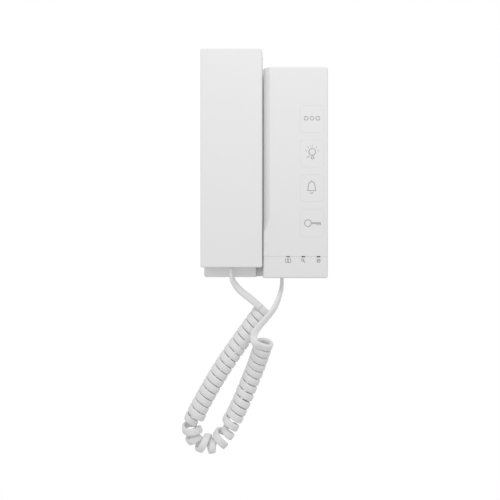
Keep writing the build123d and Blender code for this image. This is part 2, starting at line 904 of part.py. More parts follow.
def curl_radius(step, share):
    """The wound cord's radius. Round the bend every other turn nests inside the next on the inner side."""
    turn, part = divmod(step / curl_steps + 1 / 4, 1)
    degrees = 360 * part - 90
    rise = nest_to_deg - nest_from_deg
    nest = eased((degrees - nest_from_deg) / rise) * eased((180 - nest_from_deg - degrees) / rise)
    depth = nest_in if turn % 2 else -nest_out
    return curl_r - depth * nest * in_bend(share)


def curl(step):
    """A point of the wound cord and the point of the coil's line inside it."""
    low = min(max(math.floor(step), 0), last_step - 1)
    along = stations[low] + (step - low) * (stations[low + 1] - stations[low])
    share = min(max(along / coil_line.length, 0), 1)
    centre = coil_line @ share
    ahead = coil_line % share
    centre += ahead * (along - share * coil_line.length)
    across_line = coil_back.cross(ahead).normalized()
    back = ahead.cross(across_line)
    a = 2 * math.pi * step / curl_steps
    r = curl_radius(step, share)
    return centre - (back * math.cos(a) + across_line * math.sin(a)) * r, centre


def curl_heading(step):
    """The wound cord's direction at a step."""
    nudge = 1 / 100
    return (curl(step + nudge)[0] - curl(step - nudge)[0]).normalized()


def biarc(step, span):
    """Two tangent arcs from one step to the end of its span."""
    start, end = curl(step)[0], curl(step + span)[0]
    out, into = curl_heading(step), curl_heading(step + span)
    chord = end - start
    both = chord.dot(out + into)
    spare = 2 * (1 - out.dot(into))
    reach = (math.sqrt(both**2 + spare * chord.dot(chord)) - both) / spare
    joint = (start + out * reach + end - into * reach) * 0.5
    return [TangentArc(start, joint, tangent=out).edge(), TangentArc(end, joint, tangent=into * -1).edge()]


def coil_end(step, side):
    """The place and direction of the coil's straight end at its first or last step."""
    return curl(step)[0] + curl_heading(step) * side * cord_t, curl_heading(step)


def one_turn(first):
    """One turn of the wound cord, swept from section to section. The end turns have a straight end."""
    def section(step, shift=0):
        place, centre = curl(step)
        return cord_section(place + curl_heading(step) * shift, curl_heading(step), place - centre)

    edges = []
    middle = stations[first + curl_steps // 2] / coil_line.length
    span = bend_span_steps if in_bend(middle) > 0 else arm_span_steps
    sections = [section(step) for step in range(first, first + curl_steps + 1, span)]
    for step in range(first, first + curl_steps, span):
        edges += biarc(step, span)
    if first == 0:
        edges.insert(0, Line(coil_end(0, -1)[0], curl(0)[0]).edge())
        sections.insert(0, section(0, -cord_t))
    if first + curl_steps == last_step:
        edges.append(Line(curl(last_step)[0], coil_end(last_step, 1)[0]).edge())
        sections.append(section(last_step, cord_t))
    return Solid.sweep_multi([s.outer_wire() for s in sections], Wire(edges), is_frenet=False)


def curly_cord():
    """The wound part of the cord as one unbroken tube: the turns' skins, sewn end to end."""
    turns = [one_turn(first) for first in range(0, last_step, curl_steps)]
    ends = [coil_end(0, -1)[0], coil_end(last_step, 1)[0]]
    joints = [curl(step)[0] for step in range(curl_steps, last_step, curl_steps)]
    near = cord_t / 10
    skin = []
    for turn in turns:
        for face in turn.faces():
            flat = face.geom_type == GeomType.PLANE
            if not flat or min((face.center() - j).length for j in joints) > near:
                skin.append(face)
    return Solid(Shell(skin)), ends


def coil_gap():
    """The least gap between a turn and the next two, from points of one against the section of another."""
    rim = [(u * cord_t / 2, v * cord_w / 2) for u in (-1, 0, 1) for v in (-1, 0, 1)]
    fine = 3
    turn = curl_steps * fine
    frames = []
    for i in range(last_step * fine + 1):
        place, centre = curl(i / fine)
        ahead = curl_heading(i / fine)
        out = place - centre
        out = (out - ahead * out.dot(ahead)).normalized()
        side = ahead.cross(out)
        points = [tuple(place + out * u + side * v) for u, v in rim]
        frames.append((tuple(place), tuple(ahead), tuple(out), tuple(side), points))
    least = curl_od
    slice_t = math.pi * curl_r / turn
    for i, (place, ahead, out, side, _) in enumerate(frames):
        for other in frames[i + turn * 3 // 4: i + turn * 9 // 4]:
            for point in other[4]:
                off = [p - q for p, q in zip(point, place)]
                if abs(sum(p * q for p, q in zip(off, ahead))) < slice_t:
                    spare_out = abs(sum(p * q for p, q in zip(off, out))) - cord_t / 2
                    spare_side = abs(sum(p * q for p, q in zip(off, side))) - cord_w / 2
                    least = min(least, max(spare_out, spare_side))
    return least


def flat_lead(points, out_first, out_last):
    """A free stretch of the flat cord along a soft line, turning over from one end to the other."""
    line = soft_line(points)
    path = Wire(line.edges())
    lengths = [e.length for e in path.edges()]
    marks = [0] + [sum(lengths[: i + 1]) / path.length for i in range(len(lengths))]
    sections = []
    for mark in marks:
        share = min(mark, 1)
        out = out_first * (1 - share) + out_last * share
        sections.append(cord_section(path @ share, path % share, out).outer_wire())
    body = Solid.sweep_multi(sections, path, is_frenet=False)
    area = cord_section(path @ 0, path % 0, out_first).area
    print("lead length", round(path.length, 1), "radii", [round(r, 1) for r in turn_radii(points)])
    print("lead volume", round(body.volume), "section times length", round(area * path.length))
    return body


def leads():
    """The two free stretches, each meeting its plug and the coil's end face to face."""
    start, heading = coil_end(0, -1)
    run = cord_w
    first = handset_lead_route + [tuple(start - heading * run), tuple(start)]
    end, going = coil_end(last_step, 1)
    print("coil ends", [round(c, 2) for c in (*start, *heading, *end, *going)])
    second = [tuple(end), tuple(end + going * run * 3 / 4)] + unit_lead_route
    second.append((unit_jack_x, unit_jack_y, -top))
    front = Vector(0, -1, 0)
    sideways = Vector(1, 0, 0)
    return flat_lead(first, sideways, front), flat_lead(second, front, sideways)


save("front_housing", front_housing())
save("foot_trim", foot_trim())
save("rear_plate", rear_plate())
for name, place in zip(key_names, key_places):
    save(f"{name}_key", key(*place))
    save(f"{name}_key_stem", key_stem(*place))
save("key_switches", *[key_switch(*place) for place in key_places])
save("circuit_board", circuit_board())
save("indicator_light_pipes", *[light_pipe(x) for x in window_x])
save("indicator_lamps", *[centred(x, window_z, lamp_w, lamp_h, board_y - lamp_t, board_y) for x in window_x])
save("cover_screws", *[
    screw(x, cover_screw_z, shelf_y, cover_screw_head_t, cover_screw_head_r, cover_screw_l, cover_screw_r)
    for x in cover_screw_x
])
save("call_sounder", call_sounder())
save("bay_magnet", centred(handset_x, catch_z, catch_w, catch_h, bay_back, bay_back + magnet_t))
save("hook_lever", hook_lever())
save("hook_pin", hook_pin())
save("hook_switch", hook_switch())
save("hook_switch_stem", hook_stem())
save("terminal_block", terminal_block())
save("unit_cord_jack", cord_jack(unit_jack_x, unit_jack_y, -top + wall))
save("unit_cord_plug", cord_plug(unit_jack_x, unit_jack_y, -top))
save("handset_front_shell", handset_front_shell())
save("handset_rear_shell", handset_rear_shell())
save("handset_screws", *handset_screws())
save("earpiece_capsule", earpiece_capsule())
save("earpiece_foam_ring", earpiece_foam())
save("microphone_boot", microphone_boot())
save("microphone_capsule", microphone_capsule())
save("handset_steel_plate", centred(
    handset_x, catch_z, catch_w, catch_h, handset_inner - steel_t, handset_inner
))
save("handset_cord_jack", cord_jack(handset_jack_x, handset_jack_y, handset_foot + handset_wall))
save("handset_cord_plug", cord_plug(handset_jack_x, handset_jack_y, handset_foot))
coil, coil_ends = curly_cord()
save("curly_cord", coil)
print("curls", last_step // curl_steps, "coil line", round(coil_line.length, 1), "bend radii",
      [round(r, 1) for r in turn_radii(coil_route, coil_corner_share)])
print("coil volume", round(coil.volume), "least gap between turns", round(coil_gap(), 2))
handset_lead, unit_lead = leads()
save("handset_cord_lead", handset_lead)
save("unit_cord_lead", unit_lead)
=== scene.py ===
import bpy
import bmesh
import math
from mathutils import Matrix, Vector


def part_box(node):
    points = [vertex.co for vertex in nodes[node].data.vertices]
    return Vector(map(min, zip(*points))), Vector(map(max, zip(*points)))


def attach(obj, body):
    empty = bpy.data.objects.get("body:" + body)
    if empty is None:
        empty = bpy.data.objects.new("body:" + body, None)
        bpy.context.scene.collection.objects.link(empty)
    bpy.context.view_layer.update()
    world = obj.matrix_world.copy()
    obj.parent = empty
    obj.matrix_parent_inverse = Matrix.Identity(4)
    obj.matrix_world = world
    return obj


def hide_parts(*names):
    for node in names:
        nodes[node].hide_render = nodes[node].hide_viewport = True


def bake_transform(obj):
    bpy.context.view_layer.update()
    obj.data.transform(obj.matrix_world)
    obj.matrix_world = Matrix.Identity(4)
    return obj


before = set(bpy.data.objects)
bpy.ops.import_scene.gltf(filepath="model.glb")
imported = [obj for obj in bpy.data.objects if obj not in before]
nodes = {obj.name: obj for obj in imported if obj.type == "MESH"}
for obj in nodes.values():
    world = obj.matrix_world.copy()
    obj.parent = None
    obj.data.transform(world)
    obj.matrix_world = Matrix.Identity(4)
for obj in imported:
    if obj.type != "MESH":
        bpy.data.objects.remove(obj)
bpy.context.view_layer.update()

# The wall unit's housing: one moulding of white styrene with a satin, spark-eroded surface. It hooks over the
# rear plate at the top and takes two screws at the foot. The CAD shape stays, and this section gives it its
# plastic.

MM = 0.001
housing_white = (0.87, 0.87, 0.873)
housing_grain_per_m = 2400
housing_grain_depth = 0.012 * MM
housing_tone_per_m = 16
housing_tone_spread = 0.012
housing_wear_per_m = 96
housing_roughness = 0.46
housing_roughness_spread = 0.08


class Sum:
    """A value in a node tree that grows by Python sums."""

    def __init__(self, tree, socket):
        self.tree = tree
        self.socket = socket

    def maths(self, operation, *values):
        return self.tree.add("ShaderNodeMath", {"operation": operation}, values)

    def __add__(self, other):
        return self.maths("ADD", self, other)

    def __radd__(self, other):
        return self.maths("ADD", other, self)

    def __sub__(self, other):
        return self.maths("SUBTRACT", self, other)

    def __rsub__(self, other):
        return self.maths("SUBTRACT", other, self)

    def __mul__(self, other):
        return self.maths("MULTIPLY", self, other)

    def __rmul__(self, other):
        return self.maths("MULTIPLY", other, self)

    def __gt__(self, other):
        return self.maths("GREATER_THAN", self, other)

    def __lt__(self, other):
        return self.maths("LESS_THAN", self, other)


class Tree:
    """A node tree under construction."""

    def __init__(self, tree):
        self.nodes = tree.nodes
        self.links = tree.links

    def add(self, kind, settings, values, output=0):
        """Adds a node, sets it up, then gives its sockets their values or links."""
        node = self.nodes.new(kind)
        for name, value in settings.items():
            setattr(node, name, value)
        pairs = values.items() if isinstance(values, dict) else enumerate(values)
        for place, value in pairs:
            self.fill(node.inputs[place], value)
        return Sum(self, node.outputs[output])

    def fill(self, socket, value):
        if isinstance(value, Sum):
            self.links.new(value.socket, socket)
        else:
            socket.default_value = value


class Look(Tree):
    """A material under construction, with its surface shader ready."""

    def __init__(self, name, colour, roughness):
        self.material = bpy.data.materials.new(name)
        self.material.use_nodes = True
        super().__init__(self.material.node_tree)
        self.surface = self.nodes["Principled BSDF"]
        self.put("Base Color", (*colour, 1))
        self.put("Roughness", roughness)

    def put(self, place, value):
        """Sets one socket of the surface shader."""
        self.fill(self.surface.inputs[place], value)

    def place(self):
        """Object coordinates, in metres."""
        return self.add("ShaderNodeTexCoord", {}, {}, "Object")

    def noise(self, per_m, detail=2, roughness=0.5):
        """Even noise of so many waves to a metre."""
        return self.add(
            "ShaderNodeTexNoise", {},
            {"Vector": self.place(), "Scale": per_m, "Detail": detail, "Roughness": roughness},
        )

    def mix(self, share, first, second):
        """A colour between two colours."""
        return self.add(
            "ShaderNodeMix", {"data_type": "RGBA"}, {0: share, 6: (*first, 1), 7: (*second, 1)}, 2
        )

    def bump(self, height, depth):
        """Relief of a real depth, from a height of 0 to 1."""
        self.put("Normal", self.add("ShaderNodeBump", {}, {"Distance": depth, "Height": height}))


def shade(colour, factor):
    """A colour made lighter or darker."""
    return tuple(min(c * factor, 1) for c in colour)


def moulded_plastic(name, colour, roughness, grain_depth=housing_grain_depth):
    """Moulded plastic: a fine eroded grain, a faint change of tone and of gloss over the part."""
    look = Look(name, colour, roughness)
    tone = look.noise(housing_tone_per_m, 3)
    look.put("Base Color", look.mix(
        tone, shade(colour, 1 - housing_tone_spread), shade(colour, 1 + housing_tone_spread)
    ))
    wear = look.noise(housing_wear_per_m, 4, 0.6)
    look.put("Roughness", roughness - housing_roughness_spread / 2 + wear * housing_roughness_spread)
    grain = look.noise(housing_grain_per_m, 2, 0.6)
    look.bump(grain, grain_depth)
    return look.material


def dress(node, material):
    """Gives a CAD node its material in every slot."""
    mesh = nodes[node].data
    mesh.materials.clear()
    mesh.materials.append(material)


housing_plastic = moulded_plastic("satin_white_plastic", housing_white, housing_roughness)
dress("front_housing", housing_plastic)
dress("foot_trim", housing_plastic)

# The roll and the lip of the panel's edge: on the real moulding the face rolls down into the gap in one soft
# curve, and its lip stands close to the handset, where the solid has a cove and a wider gap. Two fillers of
# the housing's own plastic lie in the cove and along the lip. They are parted at the seam of the foot trim.

roll_left = -1.7 * MM
roll_right = 5.3 * MM
roll_face = -37 * MM
roll_drop = 6 * MM
roll_back = -30.5 * MM
roll_chamfer = 3 * MM
roll_shape = 0.3
roll_steps = 24
roll_top = 94 * MM
roll_foot = -40 * MM
roll_fade = 13 * MM
lip_w = 0.8 * MM
lip_depth = 1.7 * MM
lip_foot = -94 * MM
panel_edge_r = 1.5 * MM
edge_steps = 6
seam_top = -74.8 * MM
seam_gap = 0.1 * MM
sharp_angle = math.radians(30)
near = 0.01 * MM


def select(piece, kind, test):
    """Selects in edit mode the edges or faces of a piece whose middle passes a test."""
    bpy.ops.object.mode_set(mode="EDIT")
    bpy.ops.mesh.select_mode(type=kind)
    bpy.ops.mesh.select_all(action="DESELECT")
    made = bmesh.from_edit_mesh(piece.data)
    for part in made.edges if kind == "EDGE" else made.faces:
        corners = [corner.co for corner in part.verts]
        part.select_set(test(sum(corners, Vector()) / len(corners)))
    bmesh.update_edit_mesh(piece.data)


def part_at(piece, z, keep_above):
    """Cuts a piece across at a height, keeps one side, closes it and finishes it."""
    bpy.ops.object.select_all(action="DESELECT")
    piece.select_set(True)
    bpy.context.view_layer.objects.active = piece
    bpy.ops.object.mode_set(mode="EDIT")
    bpy.ops.mesh.select_all(action="SELECT")
    bpy.ops.mesh.bisect(
        plane_co=(0, 0, z), plane_no=(0, 0, 1), use_fill=True, clear_inner=keep_above,
        clear_outer=not keep_above,
    )
    bpy.ops.mesh.select_all(action="SELECT")
    bpy.ops.mesh.remove_doubles(threshold=near)
    bpy.ops.mesh.normals_make_consistent(inside=False)
    bpy.ops.object.mode_set(mode="OBJECT")
    bpy.ops.object.shade_smooth_by_angle(angle=sharp_angle)
    piece.data.name = piece.name
    piece.data.materials.append(housing_plastic)
    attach(piece, "wall_unit")


roll_w = roll_right - roll_left
roll_depth = roll_back - roll_face
bpy.ops.object.select_all(action="DESELECT")
bpy.ops.mesh.primitive_cube_add(
    size=1, scale=(roll_w, roll_depth, roll_top - roll_foot),
    location=((roll_left + roll_right) / 2, (roll_back + roll_face) / 2, (roll_top + roll_foot) / 2),
)
panel_roll = bpy.context.object
panel_roll.name = "panel_roll"
bpy.ops.object.transform_apply(location=True, rotation=True, scale=True)
select(panel_roll, "EDGE", lambda p: p.x < roll_left + near and p.y < roll_face + near)
bpy.ops.mesh.bevel(offset=roll_drop, segments=roll_steps, profile=roll_shape, affect="EDGES")
select(panel_roll, "EDGE", lambda p: (
    p.z > roll_top - near and p.x < roll_right - near and p.y < roll_back - near
))
bpy.ops.mesh.bevel(offset=panel_edge_r, segments=edge_steps, profile=0.5, affect="EDGES")
select(panel_roll, "EDGE", lambda p: p.x > roll_right - near and p.y > roll_back - near)
bpy.ops.mesh.bevel(offset=roll_chamfer, segments=1, affect="EDGES")
select(panel_roll, "FACE", lambda p: p.z < roll_foot + near)
bpy.ops.mesh.extrude_region_move(TRANSFORM_OT_translate={"value": (0, 0, -roll_fade)})
fade_foot = roll_foot - roll_fade
bpy.ops.transform.resize(
    value=(lip_w / roll_w, lip_depth / roll_depth, 1), center_override=(roll_left, roll_face, fade_foot)
)
bpy.ops.mesh.extrude_region_move(
    TRANSFORM_OT_translate={"value": (0, 0, lip_foot + panel_edge_r - fade_foot)}
)
quarter = [math.pi / 2 * i / edge_steps for i in range(edge_steps + 1)]
for a, b in zip(quarter, quarter[1:]):
    inwards = panel_edge_r * (math.cos(a) - math.cos(b))
    down = panel_edge_r * (math.sin(a) - math.sin(b))
    bpy.ops.mesh.extrude_region_move(TRANSFORM_OT_translate={"value": (0, inwards, down)})
bpy.ops.object.mode_set(mode="OBJECT")
trim_lip = panel_roll.copy()
trim_lip.data = panel_roll.data.copy()
trim_lip.name = "trim_lip"
bpy.context.scene.collection.objects.link(trim_lip)
part_at(panel_roll, seam_top, keep_above=True)
part_at(trim_lip, seam_top - seam_gap, keep_above=False)

# The rear plate and the parts behind the housing: the plate is plain off-white styrene, the board is green
# glass-epoxy, and the switches, sounder and sockets are black. They stand on the board or the plate.

plate_plastic = moulded_plastic("off_white_plastic", (0.78, 0.78, 0.77), 0.55, 0.02 * MM)
dress("rear_plate", plate_plastic)
black_plastic = moulded_plastic("black_plastic", (0.03, 0.03, 0.032), 0.5)
for node in ("key_switches", "hook_switch", "unit_cord_jack", "handset_cord_jack", "call_sounder",
             "earpiece_capsule"):
    dress(node, black_plastic)
stem_plastic = moulded_plastic("stem_plastic", (0.62, 0.6, 0.55), 0.4)
key_names = ("auxiliary", "light", "bell", "door")
for name in key_names:
    dress(f"{name}_key_stem", stem_plastic)
dress("hook_switch_stem", stem_plastic)


def board_mask():
    """Green solder mask over copper tracks."""
    tracks_per_m = 260
    track_share = 0.06
    track_depth = 0.035 * MM
    look = Look("board_mask", (0.02, 0.16, 0.07), 0.35)
    tracks = look.add(
        "ShaderNodeTexBrick", {"offset": 0.37, "squash": 1.6},
        {"Vector": look.place(), "Scale": tracks_per_m, "Mortar Size": track_share}, "Fac",
    )
    look.put("Base Color", look.mix(tracks, (0.02, 0.15, 0.065), (0.035, 0.24, 0.10)))
    look.bump(tracks, track_depth)
    look.put("Coat Weight", 0.4)
    return look.material


dress("circuit_board", board_mask())
terminal_plastic = moulded_plastic("terminal_plastic", (0.05, 0.32, 0.13), 0.42)
dress("terminal_block", terminal_plastic)


def plated_steel(name, colour, roughness):
    """Zinc-plated steel with fine turning marks."""
    marks_per_m = 3200
    mark_depth = 0.004 * MM
    roughness_spread = 0.14
    look = Look(name, colour, roughness)
    marks = look.noise(marks_per_m, 3, 0.7)
    look.put("Metallic", 1.0)
    look.put("Roughness", roughness - roughness_spread / 2 + marks * roughness_spread)
    look.bump(marks, mark_depth)
    return look.material


steel = plated_steel("zinc_plated_steel", (0.62, 0.62, 0.63), 0.32)
for node in ("cover_screws", "hook_pin", "bay_magnet", "handset_steel_plate", "microphone_capsule"):
    dress(node, steel)

# The hook lever: moulded of the same white plastic as the housing, a little glossier because the handset rubs
# its nose. It turns on a steel pin behind the bay.

dress("hook_lever", moulded_plastic("lever_plastic", (0.84, 0.84, 0.845), 0.34))

# The four keys: caps of the housing's own plastic, flush in its face, each with a pale grey printed sign. The
# print is a thin film of ink on the face, drawn here with a round pen and pressed flat.

for name in key_names:
    dress(f"{name}_key", housing_plastic)

ink_thickness = 0.03 * MM
ink_grain_per_m = 5200
ink_grain_depth = 0.003 * MM
pen = 0.8 * MM
sign_grey = (0.47, 0.47, 0.48)


def ink(name, colour):
    """Screen-printed ink with a slightly uneven tone and grain."""
    look = Look(name, colour, 0.55)
    grain = look.noise(ink_grain_per_m, 2)
    look.put("Base Color", look.mix(grain, shade(colour, 0.88), shade(colour, 1.14)))
    look.bump(grain, ink_grain_depth)
    return look.material


sign_ink = ink("pale_grey_ink", sign_grey)


def pen_line(curve, points, closed=False, smooth=False):
    """One stroke of a sign, in millimetres across and up from the sign's middle."""
    line = curve.splines.new("NURBS" if smooth else "POLY")
    line.points.add(len(points) - 1)
    for point, (across, up) in zip(line.points, points):
        point.co = (across * MM, 0, up * MM, 1)
    line.use_cyclic_u = closed
    if smooth:
        line.order_u = 3
        line.use_endpoint_u = not closed
        line.resolution_u = 8


def ring_points(across, up, radius, count=12, start=0, sweep=360):
    """Points round a circle or part of one."""
    steps = count if sweep == 360 else count - 1
    angles = [math.radians(start + sweep * i / steps) for i in range(count)]
    return [(across + radius * math.cos(a), up + radius * math.sin(a)) for a in angles]


def printed_sign(name, draw, body, middle, face_y, width, material):
    """Draws a sign with the pen, makes it a mesh, presses it flat on the face and lets it ride its body."""
    curve = bpy.data.curves.new(name, "CURVE")
    curve.dimensions = "3D"
    curve.bevel_depth = width / 2
    curve.bevel_resolution = 2
    curve.use_fill_caps = True
    draw(curve)
    pencil = bpy.data.objects.new(name, curve)
    mesh = bpy.data.meshes.new_from_object(pencil)
    bpy.data.objects.remove(pencil)
    mesh.transform(Matrix.Diagonal((1, ink_thickness / width, 1, 1)))
    mesh.transform(Matrix.Translation((middle[0], face_y, middle[1])))
    sign = bpy.data.objects.new(name, mesh)
    bpy.context.scene.collection.objects.link(sign)
    mesh.materials.clear()
    mesh.materials.append(material)
    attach(sign, body)


def draw_three_rings(curve):
    """A generic sign for a spare function: three small rings in a row."""
    for across in (-5.2, 0, 5.2):
        pen_line(curve, ring_points(across, 0, 1.7), True, True)


def draw_bulb(curve):
    """A lamp: its globe, its cap and short rays."""
    pen_line(curve, ring_points(0, 1.5, 3.1), True, True)
    pen_line(curve, ring_points(0.3, -3.6, 1.25), True, True)
    pen_line(curve, [(-4.6, -3.9), (-2.4, -1.9)])
    for angle in (50, 90, 130, 10, 170):
        a = math.radians(angle)
        pen_line(curve, [(r * math.cos(a), 1.5 + r * math.sin(a)) for r in (4.9, 6.1)])


def draw_bell(curve):
    """A bell: its body, its rim and its clapper."""
    left_half = [(-4.1, -3.4), (-3.3, -2.2), (-2.9, 1.2), (-2.3, 3.6)]
    right_half = [(-across, up) for across, up in reversed(left_half)]
    pen_line(curve, left_half + [(0, 4.9)] + right_half, True, True)
    pen_line(curve, ring_points(0, -4.6, 1.3, 7, 190, 160), False, True)
    pen_line(curve, [(0, 4.6), (0, 5.6)])


def draw_key(curve):
    """A key with its bow to the left."""
    pen_line(curve, ring_points(-3.6, 0, 3.1), True, True)
    for up in (0.45, -0.45):
        pen_line(curve, [(-0.5, up), (7.9, up)])
    for across in (4.6, 6.2, 7.6):
        pen_line(curve, [(across, -0.4), (across, -1.9)])


signs = (draw_three_rings, draw_bulb, draw_bell, draw_key)
sign_shift = ((0, 0.6), (0.2, 0), (-0.3, 1.2), (0, -0.3))
for name, draw, shift in zip(key_names, signs, sign_shift):
    low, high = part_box(f"{name}_key")
    middle = ((low[0] + high[0]) / 2 + shift[0] * MM, (low[2] + high[2]) / 2 + shift[1] * MM)
    printed_sign(f"{name}_sign", draw, f"{name}_button", middle, low[1], pen, sign_ink)

# The three indicators: smoked clear rods that carry the light of the lamps on the board to the seam of the
# foot trim. A white mask printed on each rod's end leaves a slit clear. A small dark sign stands under it.

pipe_low, pipe_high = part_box("indicator_light_pipes")
trim_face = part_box("foot_trim")[0][1]
pipe_w = 4 * MM
flange_over = 1 * MM
first_pipe = pipe_low[0] + flange_over + pipe_w / 2
last_pipe = pipe_high[0] - flange_over - pipe_w / 2
pipe_pitch = (last_pipe - first_pipe) / 2
pipe_z = (pipe_low[2] + pipe_high[2]) / 2
slit_w = 3 * MM
slit_foot = pipe_z - 0.25 * MM
smoke = (0.012, 0.012, 0.014)
mask_white = (0.82, 0.82, 0.823)


def smoked_rod():
    """Smoked clear acrylic, nearly black until its lamp is lit, with the white mask round its slit."""
    look = Look("smoked_acrylic", smoke, 0.12)
    across = look.add("ShaderNodeSeparateXYZ", {}, [look.place()], "X") - first_pipe
    height = look.add("ShaderNodeSeparateXYZ", {}, [look.place()], "Z")
    from_middle = across.maths("ABSOLUTE", across.maths("WRAP", across, pipe_pitch / 2, -pipe_pitch / 2))
    slit = (from_middle < slit_w / 2) * (height > slit_foot)
    look.put("Base Color", look.mix(slit, mask_white, smoke))
    streaks = look.noise(900, 2)
    look.put("Roughness", 0.1 + streaks * 0.06)
    look.put("Coat Weight", 0.5)
    return look.material


dress("indicator_light_pipes", smoked_rod())
lens_yellow = (0.8, 0.77, 0.6)
lamp_look = Look("lamp_lens", lens_yellow, 0.2)
lamp_look.put("Base Color", lamp_look.mix(lamp_look.noise(1500), lens_yellow, (0.9, 0.88, 0.75)))
dress("indicator_lamps", lamp_look.material)

mark_pen = 0.55 * MM
mark_drop = 3.3 * MM
mark_ink = ink("dark_grey_ink", (0.22, 0.22, 0.23))


def draw_panel_mark(curve):
    """A call panel: a wide rounded frame with a dot."""
    left_half = [(-1.9, -1.5), (-2.5, -1.1), (-2.5, 1.1), (-1.9, 1.5)]
    right_half = [(-across, up) for across, up in reversed(left_half)]
    pen_line(curve, left_half + right_half, True)
    pen_line(curve, ring_points(0, 0, 0.5, 8), True, True)


def draw_key_mark(curve):
    """A small slanted key."""
    pen_line(curve, ring_points(-0.5, 0.6, 1.05, 10), True, True)
    pen_line(curve, [(0.3, -0.2), (1.7, -1.6)])


def draw_mute_mark(curve):
    """A ring with a bar."""
    pen_line(curve, ring_points(0, 0, 1.5, 12), True, True)
    pen_line(curve, [(-0.9, 0), (0.9, 0)])


for i, draw in enumerate((draw_panel_mark, draw_key_mark, draw_mute_mark)):
    middle = (first_pipe + pipe_pitch * i, pipe_z - mark_drop)
    name = f"indicator_mark_{i + 1}"
    printed_sign(name, draw, "wall_unit", middle, trim_face, mark_pen, mark_ink)

# The handset: two shells of the same white plastic, closed by three screws from the bay side. The earpiece is
# a black capsule on a foam ring behind its dish; the microphone sits in a rubber boot.

handset_white = (0.873, 0.873, 0.876)
handset_plastic = moulded_plastic("handset_white_plastic", handset_white, 0.44)
dress("handset_front_shell", handset_plastic)
dress("handset_rear_shell", handset_plastic)
dress("handset_screws", steel)


def foam_look():
    """Black open-cell foam."""
    look = Look("black_foam", (0.03, 0.03, 0.03), 0.95)
    cells = look.add("ShaderNodeTexVoronoi", {}, {"Vector": look.place(), "Scale": 2600}, "Distance")
    look.put("Base Color", look.mix(cells, (0.012, 0.012, 0.012), (0.06, 0.06, 0.06)))
    look.bump(cells, 0.15 * MM)
    return look.material


def rubber_look():
    """Soft black rubber with a dusty bloom."""
    look = Look("black_rubber", (0.025, 0.025, 0.025), 0.7)
    bloom = look.noise(300, 4)
    look.put("Base Color", look.mix(bloom, (0.018, 0.018, 0.018), (0.045, 0.045, 0.045)))
    look.bump(look.noise(4000), 0.01 * MM)
    return look.material


dress("earpiece_foam_ring", foam_look())
dress("microphone_boot", rubber_look())

# The curly cord: a flat white sheath over four wires, wound on a mandrel and set by heat, with a clear plug
# Its turns almost touch, so it is drawn a little wider than its solid. The wound part
# and the lead to the wall unit are one piece on the unit; the other lead, from the handset to the coil, is a
# piece of its own.

cord_w = 6 * MM
cord_t = 3.2 * MM
sheath_w = 6.5 * MM
sheath_edge_r = 1.45 * MM
sheath_corner_steps = 3
curl_od = 17.2 * MM
curl_r = (curl_od - cord_t) / 2
arm_pitch = 6.85 * MM
bend_pitch = 8.5 * MM
bend_from_share = 0.4
bend_to_share = 0.7
bend_ease = 0.03
end_pitch = 7.6 * MM
end_from_share = 0.72
end_ease = 0.05
nest_in = 3.8 * MM
nest_out = 0.6 * MM
nest_from_deg = -75
nest_to_deg = 25
curl_steps = 8
points_per_step = 2
points_per_turn = curl_steps * points_per_step
spline_cut = 1 / (0.75 + 0.25 * math.cos(2 * math.pi / points_per_turn))
coil_y = -22
coil_route = [
    (-1.8, coil_y, -123.4), (-22.4, coil_y, -151.5), (-40.3, coil_y, -177.5), (-54.4, coil_y, -201.5),
    (-67.9, coil_y, -226.8), (-67.5, coil_y, -235.4), (-62.9, coil_y, -242.6), (-55.4, coil_y, -246.6),
    (-46.8, coil_y, -246.3), (-39.6, coil_y, -241.8), (-23.2, coil_y, -210.8), (-14.6, -22.5, -189.5),
    (-6.9, -26.5, -170.5), (-0.8, -36, -150.8),
]
handset_lead_route = [
    (-30, -37.9, -84), (-30, -37.9, -91.5), (-27.6, -36.8, -98.5), (-22, -34.5, -105.5),
    (-14.5, -32, -111.6),
]
unit_lead_route = [
    (-10, -42.2, -146.2), (-9, -41, -141.5), (-5.8, -39.4, -137.2), (-1.6, -37.6, -132.6),
    (3.6, -35.2, -127), (8.6, -31.5, -120.8), (12, -27.5, -113.4), (13.9, -22.4, -107.5), (14.8, -17.6, -103),
    (15, -14.5, -98.6), (15, -14.5, -94),
]


def metres(points):
    """Places in metres, from places in millimetres."""
    return [Vector(p) * MM for p in points]


def spline_line(points, between):
    """Points along the smooth spline that has these control points."""
    curve = bpy.data.curves.new("cord_line", "CURVE")
    curve.dimensions = "3D"
    curve.resolution_u = between
    line = curve.splines.new("NURBS")
    line.points.add(len(points) - 1)
    for point, place in zip(line.points, points):
        point.co = (*place, 1)
    line.order_u = 3
    line.use_endpoint_u = True
    holder = bpy.data.objects.new("cord_line", curve)
    mesh = bpy.data.meshes.new_from_object(holder)
    found = [v.co.copy() for v in mesh.vertices]
    bpy.data.objects.remove(holder)
    bpy.data.meshes.remove(mesh)
    bpy.data.curves.remove(curve)
    return found


class Line:
    """A finely sampled line, read by length."""

    def __init__(self, points):
        self.points = points
        self.marks = [0.0]
        for a, b in zip(points, points[1:]):
            self.marks.append(self.marks[-1] + (b - a).length)
        self.length = self.marks[-1]

    def at(self, along):
        """The point at a length, and the line's direction there."""
        low = 0
        high = len(self.marks) - 2
        while low < high:
            middle = (low + high + 1) // 2
            if self.marks[middle] <= along:
                low = middle
            else:
                high = middle - 1
        step = self.points[low + 1] - self.points[low]
        ahead = step.normalized()
        return self.points[low] + ahead * (along - self.marks[low]), ahead


route_fineness = 24
coil_line = Line(spline_line(metres(coil_route), route_fineness))


def eased(share):
    """A smooth step from 0 to 1."""
    share = min(max(share, 0), 1)
    return share * share * (3 - 2 * share)


def in_bend(share):
    """1 round the coil's bend and 0 on its arms."""
    return eased((share - bend_from_share) / bend_ease) * eased((bend_to_share - share) / bend_ease)


